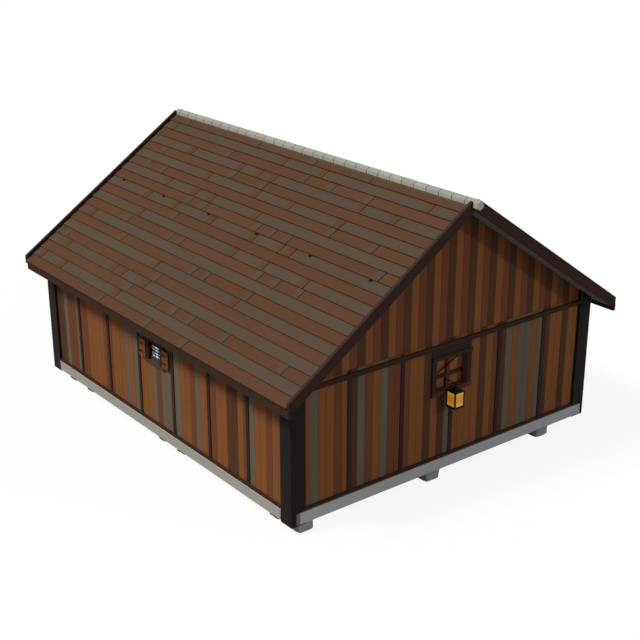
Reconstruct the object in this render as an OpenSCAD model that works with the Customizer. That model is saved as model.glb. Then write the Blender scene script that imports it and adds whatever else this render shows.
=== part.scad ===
// Timber granary on field stones: corner posts, pale sill beams, boarded walls, a board roof between
// bargeboards, a hatch in each gable, a shuttered window in each long wall and a hanging lantern.
// Millimetres, +Z up, ground at Z = 0. The front gable faces -Y; the left long wall faces -X.

/* [Overall size] */
// Gable width over the outer faces of the corner posts
width = 7000; // [5000:10:9000]
// Length of the long walls over the corner posts
length = 8330; // [5000:10:12000]
// Height of the roof's underside above the post feet, at the outer face of the long walls
wall_height = 2390; // [2350:5:3200]
// Height of the post feet above the ground
stone_height = 150; // [80:5:400]

/* [Posts and sills] */
// Side of a square corner post
post_side = 300; // [240:5:400]
// Underside of the sill beams above the post feet
sill_clear = 33; // [10:1:80]
// Height of a sill beam
sill_height = 200; // [150:1:300]
// Depth of a sill beam across the wall
sill_depth = 300; // [240:5:400]
// How far a gable sill stands out from the posts
sill_proud = 20; // [5:1:40]
// How far a gable sill's end stops short of the outer side of the post
sill_end_inset = 95; // [40:5:200]
// How deep a gable sill is let into the posts
sill_lap = 100; // [40:5:120]

/* [Walls and floor] */
// Outer board face of a wall, behind the outer face of the posts
wall_inset = 50; // [35:1:90]
// Thickness of a wall
wall_thickness = 150; // [100:5:180]
// Thickness of the floor boards
floor_thickness = 60; // [30:5:100]

/* [Framing on the boards] */
// Width of a stud
stud_width = 82; // [50:5:140]
// How far a stud stands out from the boards
stud_proud = 17; // [5:1:30]
// Distance between studs along a gable
gable_stud_pitch = 1139; // [700:1:1500]
// Studs on each side of the middle of a gable
gable_studs = 2; // [1:1:3]
// Distance between studs along a long wall
side_stud_pitch = 1166; // [700:1:1500]
// Studs on each half of a long wall
side_studs = 3; // [1:1:5]
// Height of the rail at the foot of the boards
foot_rail_height = 53; // [30:1:120]
// How far the foot rail stands out from the boards
foot_rail_proud = 40; // [10:1:45]
// How far the underside of the top rails lies below the walls' top
top_rail_drop = 80; // [40:5:140]
// Height of the top rail on a gable
top_rail_height = 85; // [60:5:200]
// How far the top rail stands out from the boards
top_rail_proud = 45; // [10:1:48]
// Height of a stud above the top rail on a gable
stud_stub = 40; // [10:5:120]

/* [Roof] */
// Slope of the roof
roof_pitch = 34.2; // [25:0.1:42]
// Thickness of the boarded roof, square to the slope
roof_thickness = 130; // [80:5:200]
// How far the roof boards run past the long walls
eave_overhang = 305; // [250:1:600]
// How far the bargeboards' faces stand out from the gable posts
gable_overhang = 345; // [200:5:700]
// Thickness of a bargeboard
barge_thickness = 60; // [30:5:100]
// How far a bargeboard stands above the roof boards, square to the slope
barge_rise = 56; // [10:1:120]
// How far a bargeboard stops short of the roof boards at the eave
barge_eave_inset = 25; // [10:1:80]
// Distance from the long wall's posts to the back of the eave board
fascia_gap = 220; // [120:5:400]
// Thickness of the eave board
fascia_thickness = 68; // [20:1:80]
// How far the eave board's foot hangs below the line of the roof's underside
fascia_drop = 28; // [20:1:150]
// How far the eave board stops short of the bargeboards' faces
fascia_end_inset = 60; // [10:5:150]
// Gap between a bargeboard's upper end and the side of the ridge pole
ridge_fit = 2; // [0.5:0.5:10]
// Radius of the six-sided ridge pole to its corners
ridge_radius = 88; // [60:1:140]
// Height of the roof's peak above the middle of the ridge pole
ridge_sink = 49; // [20:1:60]
// How far the ridge pole projects in front of the bargeboards
ridge_projection = 120; // [40:5:300]
// How far the ridge pole stops short of the rear bargeboards' faces
ridge_rear_inset = 15; // [5:1:50]

/* [Gable hatch] */
// Width of the hatch opening
hatch_width = 730; // [500:5:1000]
// Sill of the windows above the post feet
opening_level = 1500; // [900:5:1650]
// Height of the lintel between the hatch frame's head and the top rail
lintel_height = 140; // [100:5:200]
// Height of the hatch opening
hatch_height = 590; // [400:5:650]
// Height of the sill of the hatch's frame
hatch_sill = 90; // [50:5:140]
// How far the hatch sits to the side of the gable's middle
hatch_offset = -20; // [-25:5:25]
// Width of the frame's sides
hatch_jamb = 95; // [50:5:150]
// Height of the frame's head
hatch_head = 60; // [50:5:150]
// Height of the sill of a window's frame
frame_sill = 70; // [40:5:120]
// How far a frame stands out from the boards
frame_proud = 30; // [5:1:45]
// How far the hatch frame's head stands out from its sides
head_proud = 25; // [5:1:30]
// How far the lintel above the head lies behind the frame's face
lintel_setback = 15; // [5:1:25]
// Distance from the boards' face to the face of the hatch leaf
hatch_recess = 110; // [70:5:130]
// Thickness of the hatch leaf's planks
leaf_thickness = 30; // [20:1:40]
// Width of the leaf's upright bar
leaf_upright = 85; // [40:5:120]
// How far the upright bar sits to the side of the gable's middle
upright_offset = 20; // [-40:1:40]
// Height of the leaf's cross bar
leaf_cross = 60; // [25:5:100]
// Thickness of the leaf's bars
leaf_bar_thickness = 40; // [20:1:60]
// Height of the cross bar's middle above the hatch sill
leaf_cross_level = 220; // [180:1:400]

/* [Side window] */
// Width of the window opening
window_width = 380; // [300:5:900]
// Height of the window opening
window_height = 370; // [300:5:600]
// Width of the window frame's sides
window_jamb = 150; // [40:5:200]
// Height of the window frame's head
window_head = 80; // [40:5:150]
// Distance from the boards' face to the glass
glass_recess = 35; // [10:5:130]
// Thickness of the glass
glass_thickness = 6; // [4:1:10]
// Gap between the window opening and a shutter's inner edge
shutter_offset = 80; // [0:5:120]
// Width of one shutter
shutter_width = 245; // [150:5:280]
// Thickness of a shutter
shutter_thickness = 30; // [20:1:40]
// Gap between a shutter and the opening's upper and lower edge
shutter_margin = 8; // [2:1:20]

/* [Lantern] */
// Side of the square lantern body
lantern_side = 220; // [140:5:260]
// Height of the lantern body
lantern_height = 295; // [200:5:360]
// Height of the lantern's pointed cap
cap_height = 82; // [60:1:180]
// Height of the stem between the cap and the ring
neck_height = 40; // [20:5:80]
// Thickness of the stem
neck_width = 16; // [10:1:24]
// How far the cap stands out from the body
cap_lip = 7; // [2:1:15]
// Height of the lantern's base
base_height = 40; // [20:5:60]
// Side of the lantern's corner bars
corner_bar = 23; // [8:1:26]
// Thickness of the lantern's glass
lantern_glass_thickness = 4; // [3:1:6]
// Gap between the lantern and the front of the hatch frame
lantern_gap = 18; // [12:1:80]
// Height of the bracket's arm above the hatch sill
arm_level = 135; // [100:1:200]
// Radius of the bracket's round arm
arm_radius = 8; // [5:0.5:10]
// Sideways offset of the lantern from the middle of the gable
lantern_offset = -55; // [-70:1:25]
// Width of the bracket's wall plate
plate_width = 44; // [40:2:60]
// Height of the bracket's wall plate
plate_height = 128; // [110:2:150]
// Thickness of the bracket's wall plate
plate_thickness = 12; // [6:1:15]
// Running clearance between the arm and the hanging ring
ring_clearance = 0.3; // [0.1:0.1:1]
// Thickness of the hanging ring
ring_thickness = 9; // [5:1:12]
// Gap between the hanging ring and the knob at the arm's end
knob_gap = 8; // [5:1:15]
// Radius of the knob at the arm's end
knob_radius = 13; // [11:1:20]

/* [Foundation stones] */
// Width of a stone across the wall
stone_width = 340; // [280:5:420]
// Length of a stone along the long wall
stone_length = 300; // [250:5:400]
// Distance between the stones under a gable
stone_pitch = 2795; // [1500:5:3500]
// Outer side of the stones behind the posts' outer faces, along the long walls
stone_inset = 155; // [60:5:200]
// Front of the stones behind the posts' outer faces, under the gables
stone_setback = 15; // [5:5:60]
// How much the stones' corners are cut back
stone_chamfer = 46; // [20:2:80]
// How far a stone's two points stand to the side of its middle
stone_skew = 14; // [0:1:60]
// Centres of the stones along a long wall, as shares of its length
side_stone_shares = [0.085, 0.435, 0.514, 0.852, 0.939];

/* [Hidden] */
x_out = width / 2;
y_out = length / 2;
t = tan(roof_pitch);
c = cos(roof_pitch);
sill_top = sill_clear + sill_height;
peak_under = wall_height + x_out * t;
roof_up = roof_thickness / c;
peak_top = peak_under + roof_up;
rise_up = barge_rise / c;
y_barge = y_out + gable_overhang;
y_roof = y_barge - barge_thickness;
fascia_x = x_out + fascia_gap;
fascia_out = fascia_x + fascia_thickness;
roof_tip = x_out + eave_overhang;
roof_heel = roof_tip - roof_thickness * sin(roof_pitch);
ridge_z = peak_top - ridge_sink;
wall_in = wall_inset + wall_thickness;
top_rail_level = wall_height - top_rail_drop;
hatch_top = top_rail_level - lintel_height - hatch_head;
hatch_level = hatch_top - hatch_height;
hatch_foot = hatch_level - hatch_sill;
hatch_out = hatch_width / 2 + hatch_jamb;
window_out = window_width / 2 + window_jamb;
window_top = opening_level + window_height;
frame_face = wall_inset - frame_proud;
leaf_face = wall_inset + hatch_recess;
bar_face = leaf_face - leaf_bar_thickness;
post_in = x_out - post_side;
arm_z = hatch_level + arm_level;
ring_in = arm_radius + ring_clearance;
ring_out = ring_in + ring_thickness;
cap_half = lantern_side / 2 + cap_lip;
lantern_y = frame_face - lantern_gap - cap_half;
cap_top = arm_z - ring_out;
body_top = cap_top - neck_height - cap_height;
body_foot = body_top - lantern_height;
tip_y = lantern_y - ring_thickness / 2 - knob_gap;
plate_foot = arm_z + 2 * arm_radius - plate_height;
stone_row = y_out - stone_setback - post_side / 2 - stone_chamfer;
y_shift = ridge_projection / 2;
over = 10;
facets = 48;

// Every piece is drawn from the post feet and the middle of the house, then set on the stones
module placed() translate([0, y_shift, stone_height]) children();
module flip_x() mirror([1, 0, 0]) children();
module flip_y() mirror([0, 1, 0]) children();
// Box from its low and high corners
module block(a, b) translate(a) cube(b - a);
// Profile in the plane of a gable, drawn as [x, z] and run from y0 to y1
module along_y(y0, y1) translate([0, y1, 0]) rotate([90, 0, 0]) linear_extrude(height = y1 - y0) children();
// Height of the roof's underside at a distance x from the middle
function under(x) = peak_under - abs(x) * t;

// The space under the roof between x0 and x1; its slopes run through the same points as the roof's own
module under_roof(x0, x1, z0) intersection() {
  translate([x0, z0]) square([x1 - x0, peak_under - z0 + over]);
  polygon([[-roof_heel, z0 - over], [roof_heel, z0 - over], [roof_heel, under(roof_heel)],
    [0, peak_under], [-roof_heel, under(roof_heel)]]);
}
module ridge_section() translate([0, ridge_z]) rotate(90) circle(r = ridge_radius, $fn = 6);
module ridge_prism(y0, y1) along_y(y0, y1) ridge_section();

module front_sill_shape() difference() {
  block([-x_out + sill_end_inset, -y_out - sill_proud, sill_clear],
    [x_out - sill_end_inset, -y_out - sill_proud + sill_depth, sill_top]);
  for (s = [-1, 1]) translate([s * (post_in + post_side), -y_out + sill_lap, 0])
    translate([-post_side, 0, 0]) cube([2 * post_side, sill_depth, sill_top + over]);
}
module side_sill_shape()
  block([-x_out, -y_out + post_side, sill_clear],
    [-x_out + sill_depth - sill_proud, y_out - post_side, sill_top]);
module post_shape() difference() {
  along_y(-y_out, -y_out + post_side) under_roof(-x_out, -post_in, 0);
  block([-x_out + sill_end_inset, -y_out - over, sill_clear],
    [-post_in + over, -y_out + sill_lap, sill_top]);
}
module floor_shape() difference() {
  block([-x_out + wall_in, -y_out + wall_in, sill_top],
    [x_out - wall_in, y_out - wall_in, sill_top + floor_thickness]);
  for (sx = [-1, 1], sy = [-1, 1]) translate([sx * x_out, sy * y_out, sill_top + floor_thickness / 2])
    cube([2 * post_side, 2 * post_side, floor_thickness + over], center = true);
}
module gable_wall_shape() difference() {
  along_y(-y_out + wall_inset, -y_out + wall_in) under_roof(-post_in, post_in, sill_top);
  translate([hatch_offset, 0, 0])
    block([-hatch_out, -y_out, hatch_foot], [hatch_out, -y_out + wall_in + over, hatch_top + hatch_head]);
}
module side_wall_shape() difference() {
  along_y(-y_out + post_side, y_out - post_side)
    under_roof(-x_out + wall_inset, -x_out + wall_in, sill_top);
  block([-x_out, -window_out, opening_level - frame_sill],
    [-x_out + wall_in + over, window_out, window_top + window_head]);
}
module gable_framing_shape() {
  face = -y_out + wall_inset;
  rail_top = top_rail_level + top_rail_height;
  block([-post_in, face - foot_rail_proud, sill_top], [post_in, face, sill_top + foot_rail_height]);
  block([-post_in, face - top_rail_proud, top_rail_level], [post_in, face, rail_top]);
  for (i = [-gable_studs : gable_studs]) translate([i * gable_stud_pitch, 0, 0]) {
    block([-stud_width / 2, face - stud_proud, sill_top + foot_rail_height / 2],
      [stud_width / 2, face, i == 0 ? hatch_foot : top_rail_level + over]);
    block([-stud_width / 2, face - stud_proud, rail_top - over],
      [stud_width / 2, face, rail_top + stud_stub]);
  }
}
module side_framing_shape() {
  face = -x_out + wall_inset;
  reach = y_out - post_side;
  block([face - foot_rail_proud, -reach, sill_top], [face, reach, sill_top + foot_rail_height]);
  block([face - stud_proud, -reach, top_rail_level], [face, reach, under(face - stud_proud)]);
  for (i = [0 : side_studs - 1], s = [-1, 1]) translate([0, s * (i + 0.5) * side_stud_pitch, 0])
    block([face - stud_proud, -stud_width / 2, sill_top + foot_rail_height / 2],
      [face, stud_width / 2, top_rail_level + over]);
}
module hatch_hole()
  block([-hatch_width / 2, -y_out - over, hatch_level],
    [hatch_width / 2, -y_out + wall_in + over, hatch_top]);
module hatch_frame_shape() translate([hatch_offset, 0, 0]) {
  face = -y_out + frame_face;
  top = hatch_top + hatch_head;
  difference() {
    union() {
      block([-hatch_out, face, hatch_foot], [hatch_out, -y_out + wall_in, top]);
      block([-hatch_out, face - head_proud, hatch_top], [hatch_out, face + over, top]);
    }
    hatch_hole();
  }
  block([-hatch_out, face + lintel_setback, top], [hatch_out, -y_out + wall_inset, top_rail_level]);
}
module hatch_leaf_shape() {
  core = -y_out + leaf_face + leaf_thickness / 2;
  intersection() {
    translate([hatch_offset, 0, 0]) hatch_hole();
    union() {
      block([-hatch_out, -y_out + leaf_face, hatch_level],
        [hatch_out, -y_out + leaf_face + leaf_thickness, hatch_top]);
      translate([upright_offset, 0, 0])
        block([-leaf_upright / 2, -y_out + bar_face, hatch_level], [leaf_upright / 2, core, hatch_top]);
      translate([0, 0, hatch_level + leaf_cross_level])
        block([-hatch_out, -y_out + bar_face, -leaf_cross / 2], [hatch_out, core, leaf_cross / 2]);
    }
  }
}
module window_frame_shape() difference() {
  block([-x_out + frame_face, -window_out, opening_level - frame_sill],
    [-x_out + wall_in, window_out, window_top + window_head]);
  block([-x_out, -window_width / 2, opening_level],
    [-x_out + wall_in + over, window_width / 2, window_top]);
}
module window_glass_shape()
  block([-x_out + wall_inset + glass_recess, -window_width / 2, opening_level],
    [-x_out + wall_inset + glass_recess + glass_thickness, window_width / 2, window_top]);
module shutter_shape()
  translate([0, -window_width / 2 - shutter_offset - shutter_width, 0])
    block([-x_out + frame_face - shutter_thickness, 0, opening_level + shutter_margin],
      [-x_out + frame_face, shutter_width, window_top - shutter_margin]);

module roof_section() polygon([[0, peak_under], [0, peak_top],
  [-roof_tip, peak_top - roof_tip * t], [-roof_heel, under(roof_heel)]]);
module roof_shape() along_y(-y_roof, y_roof) difference() {
  roof_section();
  ridge_section();
}
module barge_shape() {
  foot = roof_tip - barge_eave_inset;
  deep = barge_rise + roof_thickness;
  along_y(-y_barge, -y_roof) difference() {
    polygon([[0, peak_under], [0, peak_top + rise_up], [-foot, peak_top + rise_up - foot * t],
      [-foot + deep * sin(roof_pitch), under(foot - deep * sin(roof_pitch))]]);
    union() {
      ridge_section();
      translate([-ridge_radius * cos(30) - ridge_fit, ridge_z - ridge_radius / 2]) square(2 * ridge_radius);
    }
  }
}
// The eave board closes the lower edge of the roof, up to the roof's slanting end
module eave_board_shape() {
  reach = y_barge - fascia_end_inset;
  top = max(under(fascia_out), under(roof_heel) + (fascia_out - roof_heel) / t);
  along_y(-reach, reach) difference() {
    translate([-fascia_out, under(fascia_out) - fascia_drop])
      square([fascia_thickness, top - under(fascia_out) + fascia_drop]);
    roof_section();
  }
}
// One stone: a block whose corners are cut back, standing on the ground
module stone(w, l) linear_extrude(height = stone_height + sill_clear)
  polygon([[-w / 2, -l / 2 + stone_chamfer], [-stone_skew, -l / 2], [w / 2, -l / 2 + stone_chamfer],
    [w / 2, l / 2 - stone_chamfer], [stone_skew, l / 2], [-w / 2, l / 2 - stone_chamfer]]);
module stones_shape() difference() {
  translate([0, 0, -stone_height]) {
    for (i = [0 : 2]) translate([-x_out + stone_inset + stone_width / 2 + i * stone_pitch, 0, 0]) {
      translate([0, -stone_row, 0]) stone(stone_width, post_side + 2 * stone_chamfer);
      if (i > 0) translate([0, stone_row, 0]) stone(stone_width, post_side + 2 * stone_chamfer);
    }
    for (share = side_stone_shares, s = [-1, 1])
      translate([s * (x_out - stone_inset - stone_width / 2), -y_out + share * length, 0])
        stone(stone_width, stone_length);
  }
  for (sx = [-1, 1], sy = [-1, 1]) translate([sx * x_out, sy * y_out, sill_clear / 2 + over / 2])
    cube([2 * post_side, 2 * post_side, sill_clear + over], center = true);
}
module bracket_shape() translate([lantern_offset, 0, 0]) {
  block([-plate_width / 2, -y_out + leaf_face - plate_thickness, plate_foot],
    [plate_width / 2, -y_out + leaf_face, plate_foot + plate_height]);
  translate([0, -y_out + leaf_face - plate_thickness / 2, arm_z]) rotate([90, 0, 0])
    cylinder(r = arm_radius, h = leaf_face - plate_thickness / 2 - tip_y, $fn = facets);
  translate([0, -y_out + tip_y, arm_z]) rotate([90, 0, 0])
    cylinder(r = knob_radius, h = arm_radius, $fn = facets);
}
module in_lantern() translate([lantern_offset, -y_out + lantern_y, 0]) children();
module lantern_frame_shape() in_lantern() {
  h = lantern_side / 2;
  bar = lantern_height - base_height / 2;
  block([-h, -h, body_foot], [h, h, body_foot + base_height]);
  for (sx = [-1, 1], sy = [-1, 1])
    translate([sx * (h - corner_bar / 2), sy * (h - corner_bar / 2), body_top - bar / 2])
      cube([corner_bar, corner_bar, bar], center = true);
  translate([0, 0, body_top]) rotate(45)
    cylinder(r1 = cap_half * sqrt(2), r2 = corner_bar / sqrt(2), h = cap_height, $fn = 4);
  translate([0, 0, cap_top - neck_height - ring_thickness])
    cylinder(d = neck_width, h = neck_height + 1.5 * ring_thickness, $fn = facets);
  translate([0, 0, arm_z]) rotate([90, 0, 0]) difference() {
    cylinder(r = ring_out, h = ring_thickness, center = true, $fn = facets);
    cylinder(r = ring_in, h = ring_thickness + over, center = true, $fn = facets);
  }
}
module lantern_glass_shape() in_lantern() {
  o = lantern_side / 2 - corner_bar / 4;
  w = lantern_side - 2 * corner_bar;
  for (a = [0, 90, 180, 270]) rotate(a) translate([-w / 2, -o, body_foot + base_height])
    cube([w, lantern_glass_thickness, lantern_height - base_height]);
}

module foundation_stones() color([0.42, 0.42, 0.40]) placed() stones_shape();
module front_sill() color([0.60, 0.58, 0.53]) placed() front_sill_shape();
module back_sill() color([0.60, 0.58, 0.53]) placed() flip_y() front_sill_shape();
module left_sill() color([0.60, 0.58, 0.53]) placed() side_sill_shape();
module right_sill() color([0.60, 0.58, 0.53]) placed() flip_x() side_sill_shape();
module front_left_post() color([0.15, 0.14, 0.13]) placed() post_shape();
module front_right_post() color([0.15, 0.14, 0.13]) placed() flip_x() post_shape();
module back_left_post() color([0.15, 0.14, 0.13]) placed() flip_y() post_shape();
module back_right_post() color([0.15, 0.14, 0.13]) placed() flip_x() flip_y() post_shape();
module floor() color([0.40, 0.28, 0.18]) placed() floor_shape();
module front_wall() color([0.45, 0.27, 0.15]) placed() gable_wall_shape();
module back_wall() color([0.45, 0.27, 0.15]) placed() flip_y() gable_wall_shape();
module left_wall() color([0.45, 0.27, 0.15]) placed() side_wall_shape();
module right_wall() color([0.45, 0.27, 0.15]) placed() flip_x() side_wall_shape();
module front_framing() color([0.20, 0.14, 0.12]) placed() gable_framing_shape();
module back_framing() color([0.20, 0.14, 0.12]) placed() flip_y() gable_framing_shape();
module left_framing() color([0.20, 0.14, 0.12]) placed() side_framing_shape();
module right_framing() color([0.20, 0.14, 0.12]) placed() flip_x() side_framing_shape();
module front_hatch_frame() color([0.20, 0.14, 0.12]) placed() hatch_frame_shape();
module back_hatch_frame() color([0.20, 0.14, 0.12]) placed() flip_y() hatch_frame_shape();
module front_hatch_leaf() color([0.45, 0.26, 0.14]) placed() hatch_leaf_shape();
module back_hatch_leaf() color([0.45, 0.26, 0.14]) placed() flip_y() hatch_leaf_shape();
module left_window_frame() color([0.26, 0.18, 0.14]) placed() window_frame_shape();
module right_window_frame() color([0.26, 0.18, 0.14]) placed() flip_x() window_frame_shape();
module left_window_glass() color([0.7, 0.8, 0.85, 0.5]) placed() window_glass_shape();
module right_window_glass() color([0.7, 0.8, 0.85, 0.5]) placed() flip_x() window_glass_shape();
module left_front_shutter() color([0.50, 0.28, 0.14]) placed() shutter_shape();
module left_rear_shutter() color([0.50, 0.28, 0.14]) placed() flip_y() shutter_shape();
module right_front_shutter() color([0.50, 0.28, 0.14]) placed() flip_x() shutter_shape();
module right_rear_shutter() color([0.50, 0.28, 0.14]) placed() flip_x() flip_y() shutter_shape();
module left_roof() color([0.38, 0.30, 0.24]) placed() roof_shape();
module right_roof() color([0.38, 0.30, 0.24]) placed() flip_x() roof_shape();
module front_left_barge() color([0.22, 0.15, 0.13]) placed() barge_shape();
module front_right_barge() color([0.22, 0.15, 0.13]) placed() flip_x() barge_shape();
module back_left_barge() color([0.22, 0.15, 0.13]) placed() flip_y() barge_shape();
module back_right_barge() color([0.22, 0.15, 0.13]) placed() flip_x() flip_y() barge_shape();
module left_eave_board() color([0.24, 0.17, 0.14]) placed() eave_board_shape();
module right_eave_board() color([0.24, 0.17, 0.14]) placed() flip_x() eave_board_shape();
module ridge_pole() color([0.66, 0.65, 0.60]) placed()
  ridge_prism(-y_barge - ridge_projection, y_barge - ridge_rear_inset);
module lantern_bracket() color([0.05, 0.05, 0.05]) placed() bracket_shape();
module lantern_frame() color([0.05, 0.05, 0.05]) placed() lantern_frame_shape();
module lantern_glass() color([0.9, 0.65, 0.2, 0.8]) placed() lantern_glass_shape();

foundation_stones();
front_sill();
back_sill();
left_sill();
right_sill();
front_left_post();
front_right_post();
back_left_post();
back_right_post();
floor();
front_wall();
back_wall();
left_wall();
right_wall();
front_framing();
back_framing();
left_framing();
right_framing();
front_hatch_frame();
back_hatch_frame();
front_hatch_leaf();
back_hatch_leaf();
left_window_frame();
right_window_frame();
left_window_glass();
right_window_glass();
left_front_shutter();
left_rear_shutter();
right_front_shutter();
right_rear_shutter();
left_roof();
right_roof();
front_left_barge();
front_right_barge();
back_left_barge();
back_right_barge();
left_eave_board();
right_eave_board();
ridge_pole();
lantern_bracket();
lantern_frame();
lantern_glass();
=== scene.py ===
"""Granary: a boarded timber storehouse on field stones, dressed piece by piece over its CAD frame."""

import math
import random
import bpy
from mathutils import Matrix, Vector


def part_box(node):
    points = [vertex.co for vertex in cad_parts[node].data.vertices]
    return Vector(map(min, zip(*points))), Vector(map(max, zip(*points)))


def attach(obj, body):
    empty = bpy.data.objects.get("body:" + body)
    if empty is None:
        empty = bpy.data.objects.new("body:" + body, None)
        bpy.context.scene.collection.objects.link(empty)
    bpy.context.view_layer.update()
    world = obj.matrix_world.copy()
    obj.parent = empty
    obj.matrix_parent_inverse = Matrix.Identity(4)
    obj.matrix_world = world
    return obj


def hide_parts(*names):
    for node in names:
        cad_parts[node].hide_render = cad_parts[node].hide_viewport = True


bl_info = {
    "name": "Granary",
    "version": (1, 0, 0),
    "blender": (4, 5, 0),
    "location": "View3D > Sidebar > Granary",
    "description": "Dresses the granary's CAD frame with boards, timbers, stones and ironwork",
    "category": "Add Mesh",
}

from functools import cache
from itertools import cycle

import bmesh
import bpy
from bpy.props import FloatProperty, FloatVectorProperty, IntProperty, PointerProperty, StringProperty
from mathutils import Matrix, Vector, noise

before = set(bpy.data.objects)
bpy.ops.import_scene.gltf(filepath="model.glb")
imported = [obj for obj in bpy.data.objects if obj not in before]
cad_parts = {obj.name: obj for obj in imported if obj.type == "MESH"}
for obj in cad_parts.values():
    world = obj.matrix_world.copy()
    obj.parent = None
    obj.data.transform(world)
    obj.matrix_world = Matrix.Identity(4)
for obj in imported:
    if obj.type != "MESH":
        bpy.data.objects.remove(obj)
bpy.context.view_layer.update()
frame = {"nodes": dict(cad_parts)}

# ---------------------------------------------------------------- sizes read from the frame

POST_LOW, POST_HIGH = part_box("front_left_post")
GABLE_LOW, GABLE_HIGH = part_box("front_wall")
SIDE_LOW, SIDE_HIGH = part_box("left_wall")
ROOF_LOW, ROOF_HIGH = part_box("left_roof")
FRAMING_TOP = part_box("front_framing")[1].z
HATCH_LOW, HATCH_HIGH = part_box("front_hatch_frame")
LEAF_LOW, LEAF_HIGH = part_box("front_hatch_leaf")
WINDOW_LOW, WINDOW_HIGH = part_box("left_window_frame")
GLASS_LOW, GLASS_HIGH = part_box("left_window_glass")

MIDDLE_Y = (GABLE_LOW.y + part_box("back_wall")[1].y) / 2
HALF_WIDTH = -POST_LOW.x
HALF_LENGTH = MIDDLE_Y - POST_LOW.y
APEX = GABLE_HIGH.z
SLOPE = (APEX - SIDE_HIGH.z) / -SIDE_HIGH.x
PITCH = math.atan(SLOPE)
ROOF_DEPTH = (-ROOF_LOW.x - (APEX - ROOF_LOW.z) / SLOPE) / math.sin(PITCH)
ROOF_PEAK = APEX + ROOF_DEPTH / math.cos(PITCH)
SLOPE_LENGTH = -ROOF_LOW.x / math.cos(PITCH)
BOARD_FACE = GABLE_LOW.y - POST_LOW.y
WALL_DEPTH = GABLE_HIGH.y - GABLE_LOW.y

# Each wall is worked on as if seen from outside: X to the right, Y inwards from the posts' faces, Z up.
WALLS = {
    "front": Matrix.Translation((0, POST_LOW.y, 0)),
    "back": Matrix.Translation((0, MIDDLE_Y + HALF_LENGTH, 0)) @ Matrix.Rotation(math.pi, 4, "Z"),
    "left": Matrix.Translation((-HALF_WIDTH, MIDDLE_Y, 0)) @ Matrix.Rotation(-math.pi / 2, 4, "Z"),
    "right": Matrix.Translation((HALF_WIDTH, MIDDLE_Y, 0)) @ Matrix.Rotation(math.pi / 2, 4, "Z"),
}


def roof_underside(x):
    """Height of the roof's underside at a distance x from the middle of a gable."""
    return APEX - abs(x) * SLOPE


def roof_place(side):
    """Frame of one roof slope: X down the slope from the peak, Z square to it, Y along the ridge."""
    down = Vector((-math.cos(PITCH), 0, -math.sin(PITCH)))
    out = Vector((-math.sin(PITCH), 0, math.cos(PITCH)))
    turn = Matrix((down, out.cross(down), out)).transposed().to_4x4()
    left = Matrix.Translation((0, 0, ROOF_PEAK)) @ turn
    if side == "left":
        return left
    return Matrix.Translation((0, ROOF_LOW.y + ROOF_HIGH.y, 0)) @ Matrix.Rotation(math.pi, 4, "Z") @ left


def stain_of(hexcode):
    """Linear colour of a six-digit display colour."""
    channels = [int(hexcode[i : i + 2], 16) / 255 for i in (0, 2, 4)]
    return tuple(c / 12.92 if c <= 0.04045 else ((c + 0.055) / 1.055) ** 2.4 for c in channels)


# ---------------------------------------------------------------- settings


def length(name, description, default):
    """A setting in metres."""
    return FloatProperty(
        name=name, description=description, default=default, min=0, unit="LENGTH", subtype="DISTANCE"
    )


def colour(name, description, hexcode):
    """A stain's setting, from its six-digit display colour."""
    return FloatVectorProperty(
        name=name, description=description, default=stain_of(hexcode), size=3, min=0, max=1, subtype="COLOR"
    )


class GranaryBoards(bpy.types.PropertyGroup):
    pitch_gable: length("Gable board pitch", "Distance between the seams of a gable's boards", 0.1625)
    pitch_side: length("Side board pitch", "Distance between the seams of a long wall's boards", 0.163)
    first_gable: length("First gable seam", "Distance from the left post's outer face to the first seam", 0.42)
    first_side: length("First side seam", "Distance from the front post's outer face to the first seam", 0.407)
    thickness: length("Board thickness", "Thickness of a wall board", 0.03)
    ease: length("Seam", "Width of the eased edge on each side of a seam", 0.005)
    upper_back: length("Upper board step", "How far the gable's upper boards lie behind the lower ones", 0.012)
    lower_top: length("Lower board top", "Height of the lower boards' tops above the gable's framing", 0.005)
    order_gable: StringProperty(
        name="Gable order",
        description="Stain of each lower gable board from the left: orange, red, grey, dark, brown",
        default="OGOORODGROGBBROODODGOOOODORDGOGGOGDOODOO",
    )
    order_upper: StringProperty(
        name="Upper order", description="Stains that the boards above the rail repeat", default="RDO"
    )
    order_over: StringProperty(
        name="Order over the hatch",
        description="Stain of each short board over the hatch, from the left",
        default="GDDBOD",
    )
    order_side: StringProperty(
        name="Side order",
        description="Stain of each long wall board from the rear to the front",
        default="DDGRRGRROOOORROOOGOGOOOGRGGGGOORGOOBOODDOBGOOROO",
    )


class GranaryRoof(bpy.types.PropertyGroup):
    exposure: length("Exposure", "Visible width of a roof board", 0.2155)
    thickness: length("Thickness", "Thickness of a roof board", 0.02)
    lap: length("Lap", "How far a board runs under the one above", 0.04)
    seam: length("Seam", "Gap between the ends of two boards", 0.012)
    eave_shade: length("Eave shade", "Height of the dark strip along the top of an eave board", 0.03)
    eave_short: length("Eave board short", "How far an eave board stops before the back end of the roof", 0.04)
    soffit: length("Soffit", "Thickness of the boards on the roof's underside", 0.022)
    ridge_joint: length("Ridge joint", "Length of one block of the ridge pole", 0.3087)
    ridge_first: length("First ridge joint", "Distance from the ridge's front end to its first joint", 0.311)


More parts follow.
